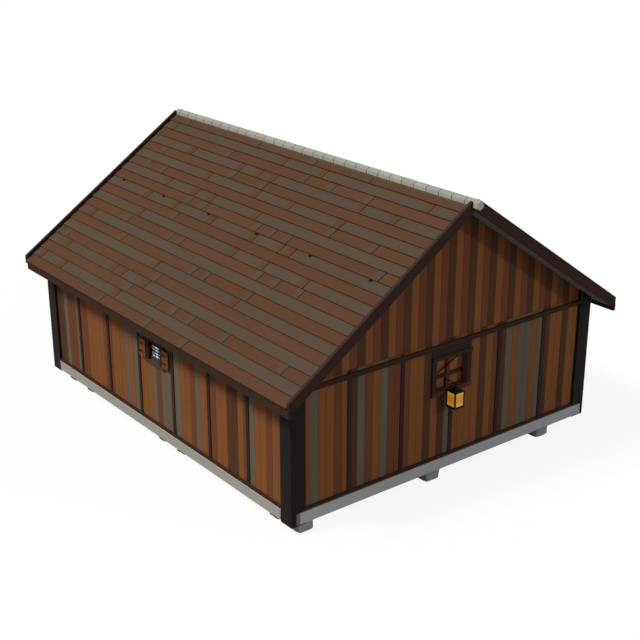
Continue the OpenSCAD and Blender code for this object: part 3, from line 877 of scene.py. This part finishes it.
class GRANARY_OT_windows(Craft):
    """Side windows with leaded glass and shutters folded back"""

    bl_idname = "granary.windows"
    bl_label = "Side windows"

    PANE = 0.006  # thickness of the glass
    SASH_FOOT, SASH_TOP = 0.065, 0.075
    SASH_NEAR, SASH_FAR = 0.02, 0.004  # how far the sash stands before the glass and reaches into it
    LEAD_NEAR, CROSS_NEAR, LEAD_FAR, LEAD_EASE = 0.006, 0.009, 0.002, 0.002
    STOUT = 2.4  # how much wider the middle bar is than a lead
    STRAPS = (0.28, 0.72)  # heights of the straps as shares of a shutter

    def make(self):
        foot = (lambda face: face.calc_center_median().z < GLASS_LOW.z + LEVEL_SLACK, self.stains.frame)
        for side in SIDES:
            self.copied(
                f"{side}_window_frame.timber", self.wood("dark_stain"), "window_timber", self.stains.trim, 61,
                level=GLASS_LOW.z, repaint=(foot,),
            )
            self.glass(side)
            self.shutters(side)

    def glass(self, side):
        """Panes in a dark sash, behind a lattice of lead that a stouter bar crosses."""
        place, node, fittings, stains = WALLS[side], f"{side}_window_glass", self.fittings, self.stains
        near = GLASS_LOW.x + HALF_WIDTH
        half = (GLASS_HIGH.y - GLASS_LOW.y) / 2
        low, high = GLASS_LOW.z, GLASS_HIGH.z
        pane = Bench(place, seed=62)
        pane.board((-half, near, low), (half, near + self.PANE, high), stains.ridge, ease=0)
        pane.deliver(f"{node}.panes", window_panes(), "window_glass")
        sash = Bench(place, seed=63)
        inner, foot, top = half - fittings.sash, low + self.SASH_FOOT, high - self.SASH_TOP
        uprights = ((-half, -inner, low, high), (inner, half, low, high))
        for left, right, bottom, crest in (*uprights, (-inner, inner, low, foot), (-inner, inner, top, high)):
            stain = stains.frame if crest == foot else stains.post
            sash.board((left, near - self.SASH_NEAR, bottom), (right, near + self.SASH_FAR, crest), stain, None)
        sash.deliver(f"{node}.sash", self.wood("dark_stain"), "window_glass")
        leads = Bench(place, seed=65)
        lead, back, ease = fittings.lead_width / 2, near + self.LEAD_FAR, self.LEAD_EASE
        for i in range(1, fittings.pane_columns):
            x = -inner + 2 * inner * i / fittings.pane_columns
            leads.board((x - lead, near - self.LEAD_NEAR, foot), (x + lead, back, top), stains.iron, "Z", ease)
        for i in range(1, fittings.pane_rows):
            z = foot + (top - foot) * i / fittings.pane_rows
            wide = lead * (self.STOUT if 2 * i == fittings.pane_rows else 1)
            corners = (-inner, near - self.CROSS_NEAR, z - wide), (inner, back, z + wide)
            leads.board(*corners, stains.iron, "X", ease)
        leads.deliver(f"{node}.leads", self.iron(), "window_glass")

    def shutters(self, side):
        """Two board shutters flat against the wall, each on two iron straps."""
        place, fittings = WALLS[side], self.fittings
        for where in ("front", "rear"):
            node = f"{side}_{where}_shutter"
            low, high = extent([place.inverted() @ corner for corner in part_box(node)])
            low.x += fittings.shutter_trim
            face = low.y + fittings.strap_proud
            width = (high.x - low.x) / 2
            bench = Bench(place, seed=64)
            for left in (low.x, low.x + width):
                bench.board((left, face, low.z), (left + width, high.y, high.z), self.stains.shutter, "Z", 0.004)
            bench.deliver(f"{node}.boards", self.wood(), "shutter_boards")
            irons = Bench(place, seed=65)
            reach = low.x + fittings.strap_reach * (high.x - low.x)
            half = fittings.strap_width / 2
            for z in (low.z + share * (high.z - low.z) for share in self.STRAPS):
                irons.board((low.x, low.y, z - half), (reach, face, z + half), self.stains.strap, "X", 0.0015)
            irons.deliver(f"{node}.straps", self.iron("strap"), "shutter_boards")


class GRANARY_OT_roof(Craft):
    """Overlapping roof boards, their pegs and the boards of the underside"""

    bl_idname = "granary.roof"
    bl_label = "Board roof"

    # Where the boards of each course meet, from the ridge down, as distances from the front gable's posts
    JOINTS = (
        (7.93, 6.67, 5.43, 3.63, 2.05), (8.22, 4.36, 3.18, 0.35), (8.5, 5.92, 3.47, 2.69, 1.67),
        (7.0, 5.28, 4.68, 4.22, 1.68, 0.78), (7.83, 5.3, 4.29), (5.9, 4.26, 3.23, 1.79), (7.89, 7.28, 1.82, 0.7),
        (6.82, 5.82, 5.24, 3.77), (5.77, 5.26, 3.5, 3.05, 2.58, 0.12), (7.01, 6.0, 4.71, 3.37, 2.58, 2.26),
        (5.74,), (6.73, 3.49, 2.56, 1.4), (6.9, 5.35, 4.97, 2.47, 1.97, 1.32), (8.05,), (6.55, 4.0, 3.59, 2.28),
        (5.02, 2.43), (8.5, 8.15, 4.67), (7.86, 5.96, 5.63, 4.8), (5.12, 4.11, 3.55, 3.0, 1.96, 0.33),
        (8.27, 7.42, 5.28), (5.56, 3.9, 2.69),
    )
    PEGS = (0.28, 1.86, 3.43, 5.0, 6.6, 8.17)
    PEG_COURSE, PEG_HALF, PEG_EASE = 8, 0.035, 0.008
    PEG_BEHIND, PEG_PROUD, PEG_LOW, PEG_TOP = 0.004, 0.045, -0.03, -0.001  # along the slope, and square to it
    RIDGE_GAP = 0.092  # no board reaches nearer to the peak than this
    FRONT_PATCH = 0.4  # how much farther the other stain reaches at the front end of a course
    STRIP_FROM, STRIP_TO = 0.1, 0.155  # edges of the strip beside the ridge pole, down the slope
    STRIP_SHORT, STRIP_SUNK, STRIP_PROUD = 0.004, 0.004, 0.003
    SOFFIT_FROM, SOFFIT_SHORT, SOFFIT_BOARDS = 0.15, 0.02, 21
    # Dark board that closes the eave, stained near-black as painted shade under the roof's edge: its edges up the
    # slope, and how far it keeps from soffit and roof boards
    EDGE_FROM, EDGE_SHORT, EDGE_RAISED, EDGE_UNDER = 0.045, 0.006, 0.0005, 0.002
    FRONT, REAR = -ROOF_LOW.y, -ROOF_HIGH.y  # ends of the roof on a slope, where Y runs to the front

    def make(self):
        for side in SIDES:
            bench = Bench(roof_place(side), seed=71)
            for course, joints in enumerate(self.JOINTS):
                self.course(bench, course, joints)
            self.pegs(bench)
            self.ridge_strip(bench)
            self.underside(bench)
            bench.deliver(f"{side}_roof.boards", self.wood("roof_stain"), "roof_boards")

    def butt(self, course):
        """Distance down the slope of a course's lower edge."""
        return SLOPE_LENGTH - self.roof.exposure * (len(self.JOINTS) - 1 - course)

    def along(self, distance):
        """Place along a slope of a distance from the front gable's posts."""
        return HALF_LENGTH - MIDDLE_Y - distance

    def lie(self, edge):
        """Turns a board so that it rises over the next course towards its lower edge."""
        tilt = Matrix.Rotation(-math.atan(self.roof.thickness / self.roof.exposure), 4, "Y")
        return Matrix.Translation((edge, 0, 0)) @ tilt

    def course(self, bench, course, joints):
        """One course of boards; red and grey boards end in patches of each other's stain."""
        roof, edge = self.roof, self.butt(course)
        up = min(roof.exposure + roof.lap, edge - self.RIDGE_GAP)
        stops = [self.FRONT] + [self.along(j) for j in sorted(joints)] + [self.REAR]
        pair = (self.stains.roof_red, self.stains.roof_grey)
        own, other = map(self.sawn, pair if course % 2 == 0 else pair[::-1])
        for near, far in zip(stops, stops[1:]):
            gap, patch = (0, self.FRONT_PATCH) if near == self.FRONT else (roof.seam / 2, 0)
            start, end = near - gap, far + (0 if far == self.REAR else roof.seam / 2)
            bench.board(
                (-up, end, -roof.thickness), (0, start, 0), own, "Y", 0.0025,
                turn=self.lie(edge), end_stain=other, start=start + patch, vary=0.035,
            )

    def sawn(self, stain):
        """A stain whose butt edges and ends are darker: dark end grain, and painted shade along each course's
        lower edge.
        """
        return lambda normal: self.stains.roof_edge if max(normal.x, abs(normal.y)) > 0.5 else stain

    def pegs(self, bench):
        """Dark pegs under the lower edge of one course."""
        edge, half = self.butt(self.PEG_COURSE), self.PEG_HALF
        for y in map(self.along, self.PEGS):
            low = (edge - self.PEG_BEHIND, y - half, self.PEG_LOW)
            high = (edge + self.PEG_PROUD, y + half, self.PEG_TOP)
            bench.board(low, high, self.stains.post, "Y", self.PEG_EASE)

    def ridge_strip(self, bench):
        """Grey-brown strip along the top of the first course, beside the ridge pole."""
        edge = self.butt(0)
        low = (self.STRIP_FROM - edge, self.REAR + self.STRIP_SHORT, -self.STRIP_SUNK)
        high = (self.STRIP_TO - edge, self.FRONT - self.STRIP_SHORT, self.STRIP_PROUD)
        bench.board(low, high, self.stains.ridge_strip, "Y", 0.001, turn=self.lie(edge))

    def underside(self, bench):
        """Soffit boards, and the dark edge that closes the roof at the eave, stained near-black as painted shade.
        """
        width = (SLOPE_LENGTH - self.SOFFIT_SHORT - self.SOFFIT_FROM) / self.SOFFIT_BOARDS
        for i in range(self.SOFFIT_BOARDS):
            left = self.SOFFIT_FROM + i * width
            low, high = (left, self.REAR, -ROOF_DEPTH), (left + width, self.FRONT, self.roof.soffit - ROOF_DEPTH)
            bench.board(low, high, self.stains.soffit, "Y", 0.002)
        # Painted shade: the closing board at the eave takes the near-black post stain.
        low = (SLOPE_LENGTH - self.EDGE_FROM, self.REAR, self.EDGE_RAISED - ROOF_DEPTH)
        high = (SLOPE_LENGTH - self.EDGE_SHORT, self.FRONT, -self.roof.thickness - self.EDGE_UNDER)
        bench.board(low, high, self.stains.post, "Y", 0.004)


class GRANARY_OT_roof_edges(Craft):
    """Bargeboards, eave boards and the ridge pole"""

    bl_idname = "granary.roof_edges"
    bl_label = "Roof edges"

    EASE = 0.004
    EAVE_BEHIND = 0.003  # how far an eave board's front end lies behind the bargeboard's face
    RIDGE_EASE, RIDGE_SIDES = 0.009, 6
    RIDGE_START = 0.02  # how far the first block starts behind the CAD pole's front end
    RIDGE_END = 0.04  # faces this near to the pole's ends are its sawn ends
    LAST_BLOCK = 0.05  # a last block shorter than this joins the one before it

    def make(self):
        dark = self.wood("dark_stain")
        for end in GABLES:
            for side in SIDES:
                self.barge(f"{end}_{side}_barge", dark)
        for side in SIDES:
            self.eave(side, dark)
        self.ridge()

    def barge(self, node, finish):
        """A bargeboard, with a small piece that fills the notch at its foot."""
        low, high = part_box(node)
        board = cad_copy(node)
        toe = max(board.verts, key=lambda vert: abs(vert.co.x)).co.copy()
        tip = min(board.verts, key=lambda vert: vert.co.z).co.copy()
        outline = [(toe.x, toe.z), (toe.x, tip.z), (tip.x, tip.z)]
        foot = panel(outline, low.y + self.EASE, high.y - self.EASE, 0.002)
        bench = Bench(seed=81)
        bench.lay(eased(board, self.EASE), self.by_facing, "X")
        bench.lay(foot, self.stains.trim, "X")
        bench.deliver(f"{node}.board", finish, "edge_timber")

    # Upward faces of a bargeboard take the trim_top stain, all others the trim.
    def by_facing(self, normal):
        return self.stains.trim_top if normal.z > 0.3 else self.stains.trim

    def eave(self, side, finish):
        """An eave board, with painted shadow along its top, from behind the front bargeboard to a little short of
        the back.
        """
        node = f"{side}_eave_board"
        low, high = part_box(node)
        shade = high.z - self.roof.eave_shade
        board = cad_copy(node, 0, shade)
        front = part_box(f"front_{side}_barge")[0].y + self.EAVE_BEHIND
        for vert in board.verts:
            if abs(vert.co.y - low.y) < 0.001:
                vert.co.y = front
            elif abs(vert.co.y - high.y) < 0.001:
                vert.co.y = high.y - self.roof.eave_short
        bench = Bench(seed=82)
        bench.lay(eased(board, self.EASE), self.stains.trim, "Y")
        # Painted shadow: the top strip of the eave board, under the roof's edge.
        bench.paint(lambda face: face.calc_center_median().z > shade, self.stains.roof_edge)
        bench.deliver(f"{node}.board", finish, "edge_timber")

    def ridge(self):
        """Six-sided blocks laid end to end, with paler sawn ends."""
        low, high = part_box("ridge_pole")
        radius, middle = (high.z - low.z) / 2, (high.z + low.z) / 2
        bench = Bench(seed=83)
        start, end = low.y + self.RIDGE_START, low.y + self.roof.ridge_first
        while start < high.y - 0.01:
            if high.y - end < self.LAST_BLOCK:
                end = high.y
            block = rod(radius, Vector((0, start, middle)), Vector((0, end, middle)), self.RIDGE_SIDES)
            bench.lay(eased(block, self.RIDGE_EASE, math.radians(70)), self.ridge_side, "Y")
            start, end = end, min(end + self.roof.ridge_joint, high.y)

        def at_end(face):
            inside = low.y + self.RIDGE_END < face.calc_center_median().y < high.y - self.RIDGE_END
            return abs(face.normal.y) > 0.5 and not inside

        bench.paint(at_end, self.stains.ridge_end)
        bench.deliver("ridge_pole.blocks", self.wood("pale_stain"), "ridge_timber")

    def ridge_side(self, normal):
        """Stain of one side of a ridge block: its eased ends show as dark joints."""
        if 0.5 < abs(normal.y) < 0.9:
            return self.stains.ridge_joint
        return self.stains.ridge_top if normal.z > 0.3 else self.stains.ridge


class GRANARY_OT_lantern(Craft):
    """The hanging lantern and its arm"""

    bl_idname = "granary.lantern"
    bl_label = "Lantern"

    def make(self):
        iron = (self.iron(), "lantern_iron", self.stains.iron, 91)
        self.copied("lantern_bracket.iron", *iron, ease=0.0012)
        self.copied("lantern_frame.iron", *iron, ease=0.0012, body="lantern")
        panes = amber_panes(self.stains, *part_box("lantern_glass"))
        self.copied("lantern_glass.panes", panes, "amber_glass", self.stains.amber, 92, ease=0, body="lantern")


class GRANARY_OT_stage(bpy.types.Operator):
    """Camera, lights and a plain pale floor"""

    bl_idname = "granary.stage"
    bl_label = "Stage"

    LEFT_LIGHT = (15, Vector((1.0, -0.3, -1.38)), (1, 0.98, 0.95))  # softness in degrees, direction, tint
    RIGHT_LIGHT = (5, Vector((-0.73, 1.0, -0.44)), (0.84, 0.88, 0.95))
    SEEN = ("Is Camera Ray", "Is Glossy Ray", "Is Transmission Ray")
    WHITE = (1, 1, 1, 1)

    def execute(self, context):
        scene = context.scene
        studio = scene.granary_studio
        camera = bpy.data.objects.new("camera", bpy.data.cameras.new("camera"))
        camera.data.lens, camera.data.sensor_width, camera.data.clip_end = studio.focal, 36, 500
        camera.location, camera.rotation_euler = studio.eye, studio.aim
        scene.collection.objects.link(camera)
        scene.camera = camera
        self.sun(scene, "left_light", studio.left_sun, *self.LEFT_LIGHT)
        self.sun(scene, "right_light", studio.right_sun, *self.RIGHT_LIGHT)
        self.sky(scene, studio.sky)
        self.floor(scene)
        scene.view_settings.view_transform = "Standard"
        return {"FINISHED"}

    def sun(self, scene, name, strength, softness, direction, tint):
        lamp = bpy.data.lights.new(name, "SUN")
        lamp.energy, lamp.angle, lamp.color = strength, math.radians(softness), tint
        light = bpy.data.objects.new(name, lamp)
        light.rotation_euler = direction.to_track_quat("-Z", "Y").to_euler()
        light.location = (0, 0, 20)
        scene.collection.objects.link(light)

    def sky(self, scene, strength):
        """Even, slightly cool light from all round; white to the eye and in reflections."""
        f = Finish("studio", "worlds", "Background")
        light = (0.80 * strength, 0.89 * strength, strength, 1)
        f.surface(color=f.mix(f.seen(*self.SEEN), light, self.WHITE))
        scene.world = f.owner

    def floor(self, scene):
        """Paper that looks white, throws little light up and keeps a faint shadow."""
        sheet = bmesh.new()
        bmesh.ops.create_grid(sheet, x_segments=1, y_segments=1, size=300)
        mesh = bpy.data.meshes.new("floor_sheet")
        sheet.to_mesh(mesh)
        sheet.free()
        piece = bpy.data.objects.new("floor_sheet", mesh)
        scene.collection.objects.link(piece)
        f = Finish("studio_paper")
        tone = f.mix(f.seen("Is Camera Ray"), (0.28, 0.28, 0.28, 1), (0.8, 0.8, 0.8, 1))
        f.surface(base_color=tone, roughness=1.0, specular_ior_level=0.0)
        matt, glow = Wire(f, f.shader.outputs[0]), f.add("ShaderNodeEmission")()
        both = f.add("ShaderNodeMixShader", (), (f.seen(*self.SEEN) * 0.9, matt, glow))
        f.join(f.tree.nodes["Material Output"].inputs["Surface"], both())
        mesh.materials.append(f.owner)


OPERATORS = (
    GRANARY_OT_foundation,
    GRANARY_OT_heavy_timber,
    GRANARY_OT_walls,
    GRANARY_OT_framing,
    GRANARY_OT_hatches,
    GRANARY_OT_windows,
    GRANARY_OT_roof,
    GRANARY_OT_roof_edges,
    GRANARY_OT_lantern,
    GRANARY_OT_stage,
)


class GRANARY_PT_panel(bpy.types.Panel):
    """Sizes, stains and the steps that build the granary"""

    bl_idname = "GRANARY_PT_panel"
    bl_label = "Granary"
    bl_space_type = "VIEW_3D"
    bl_region_type = "UI"
    bl_category = "Granary"

    def draw(self, context):
        for group in GROUPS:
            box = self.layout.box()
            settings = getattr(context.scene, group)
            for name in settings.__annotations__:
                box.prop(settings, name)
        for operator in OPERATORS:
            self.layout.operator(operator.bl_idname)


def register():
    for group in GROUPS.values():
        bpy.utils.register_class(group)
    for name, group in GROUPS.items():
        setattr(bpy.types.Scene, name, PointerProperty(type=group))
    for operator in OPERATORS:
        bpy.utils.register_class(operator)
    bpy.utils.register_class(GRANARY_PT_panel)


def unregister():
    bpy.utils.unregister_class(GRANARY_PT_panel)
    for operator in reversed(OPERATORS):
        bpy.utils.unregister_class(operator)
    for name, group in GROUPS.items():
        delattr(bpy.types.Scene, name)
        bpy.utils.unregister_class(group)


def main():
    register()
    for operator in OPERATORS:
        family, name = operator.bl_idname.split(".")
        getattr(getattr(bpy.ops, family), name)()


if __name__ == "__main__":
    main()
